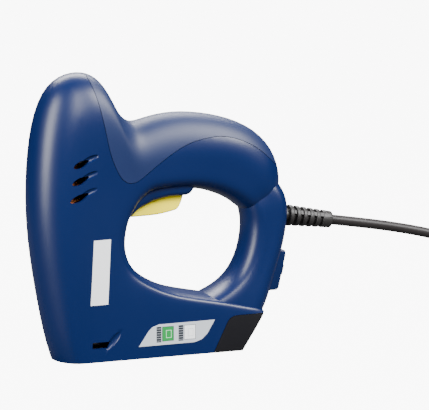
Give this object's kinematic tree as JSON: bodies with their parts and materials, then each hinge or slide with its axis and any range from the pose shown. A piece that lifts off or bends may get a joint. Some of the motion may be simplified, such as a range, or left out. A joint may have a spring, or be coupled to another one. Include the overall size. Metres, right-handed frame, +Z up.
{
  "type": "electric stapler",
  "caption": "Corded electric tacker with a solenoid drive in an upright head, a hand opening with a trigger, and a staple drawer in the foot.",
  "frame": {"origin": "centre of the housing's box, at the level of the surface that the tool stands on", "axes": "+Z up, -X towards the nose, +X towards the lead, -Y the tool's left side"},
  "size_m": [0.4798, 0.063, 0.1902],
  "materials": {
    "blue_body": "satin moulded",
    "blue_grip": "fine texture",
    "screw_steel": "black zinc",
    "plated_steel": "zinc plated",
    "bobbin_nylon": "natural nylon",
    "copper_wire": "enamelled wire",
    "ground_steel": "ground",
    "bumper_rubber": "matte",
    "spring_steel": "bright",
    "staple_steel": "galvanised",
    "pusher_nylon": "matte",
    "black_cap": "satin moulded",
    "yellow_trigger": "satin moulded",
    "switch_black": "matte",
    "board_laminate": "solder mask",
    "capacitor_sleeve": "sleeved",
    "sink_aluminium": "extruded",
    "terminal_nylon": "moulded",
    "rocker_black": "gloss",
    "white_film": "printed film",
    "grey_film": "printed film",
    "cord_rubber": "matte",
    "lead_blue": "insulated wire",
    "lead_brown": "insulated wire",
    "lead_black": "insulated wire",
    "tie_fabric": "woven strap",
    "plug_rubber": "matte",
    "pin_brass": "nickel plated"
  },
  "bodies": {
    "housing": {"left_shell": "blue_body", "right_shell": "blue_body", "grip_cover": "blue_grip", "housing_screws": "screw_steel", "solenoid_frame": "plated_steel", "solenoid_bobbin": "bobbin_nylon", "coil_winding": "copper_wire", "bottom_bumper": "bumper_rubber", "top_bumper": "bumper_rubber", "bumper_plate": "plated_steel", "return_spring": "spring_steel", "nose_plate": "plated_steel", "magazine_channel": "plated_steel", "trigger_pin": "ground_steel", "trigger_spring": "spring_steel", "microswitch": "switch_black", "circuit_board": "board_laminate", "capacitor": "capacitor_sleeve", "power_thyristor": "switch_black", "heat_sink": "sink_aluminium", "terminal_block": "terminal_nylon", "power_switch": "switch_black", "side_plate": "white_film", "staple_label": "grey_film", "strain_relief": "cord_rubber", "cord_jacket": "cord_rubber", "clamp_base": "bobbin_nylon", "clamp_saddle": "bobbin_nylon", "clamp_screws": "screw_steel", "neutral_lead": "lead_blue", "live_lead": "lead_brown", "coil_leads": "lead_black", "cord_hank": "cord_rubber", "hank_tie": "tie_fabric", "cord": "cord_rubber", "cord_plug_end": "cord_rubber", "plug_body": "plug_rubber", "plug_pins": "pin_brass"},
    "driver": {"plunger": "ground_steel", "blade_pin": "ground_steel", "driver_blade": "ground_steel", "spring_collar": "ground_steel"},
    "trigger": {"trigger": "yellow_trigger"},
    "switch_lever": {"microswitch_lever": "spring_steel"},
    "drawer": {"drawer_rail": "plated_steel", "staple_strip": "staple_steel", "pusher_rod": "spring_steel", "magazine_end_cap": "black_cap", "pusher_spring": "spring_steel", "latch_spring": "spring_steel"},
    "pusher": {"pusher": "pusher_nylon"},
    "latch": {"latch_button": "black_cap"},
    "rocker": {"rocker": "rocker_black"}
  },
  "joints": [
    {"name": "driver_slide", "type": "slide", "parent": "housing", "child": "driver", "axis": [0, 0, -1], "range_m": [0, 0.016], "stiffness_N_per_m": 400, "springref_m": -0.004, "deforming": ["return_spring"]},
    {"name": "trigger_hinge", "type": "hinge", "parent": "housing", "child": "trigger", "pos_m": [-0.0175, 0, 0.1015], "axis": [0, -1, 0], "range_deg": [0, 7.5], "stiffness_Nm_per_rad": 1, "springref_deg": -5.73, "deforming": ["trigger_spring"]},
    {"name": "switch_lever_hinge", "type": "hinge", "parent": "housing", "child": "switch_lever", "pos_m": [-0.0047, 0, 0.1149], "axis": [0, -1, 0], "range_deg": [0, 14.5]},
    {"name": "drawer_slide", "type": "slide", "parent": "housing", "child": "drawer", "axis": [1, 0, 0], "range_m": [0, 0.09]},
    {"name": "pusher_slide", "type": "slide", "parent": "drawer", "child": "pusher", "axis": [1, 0, 0], "range_m": [0, 0.024], "stiffness_N_per_m": 100, "springref_m": -0.05, "deforming": ["pusher_spring"]},
    {"name": "latch_press", "type": "slide", "parent": "drawer", "child": "latch", "axis": [-1, 0, 0], "range_m": [0, 0.0015], "stiffness_N_per_m": 2000, "springref_m": -0.001, "deforming": ["latch_spring"]},
    {"name": "rocker_hinge", "type": "hinge", "parent": "housing", "child": "rocker", "pos_m": [0.08626, 0, 0.05055], "axis": [0, 1, 0], "range_deg": [0, 14]}
  ],
  "couplings": [
    {"joint": "switch_lever_hinge", "follows": "trigger_hinge", "ratio": 1.93}
  ]
}
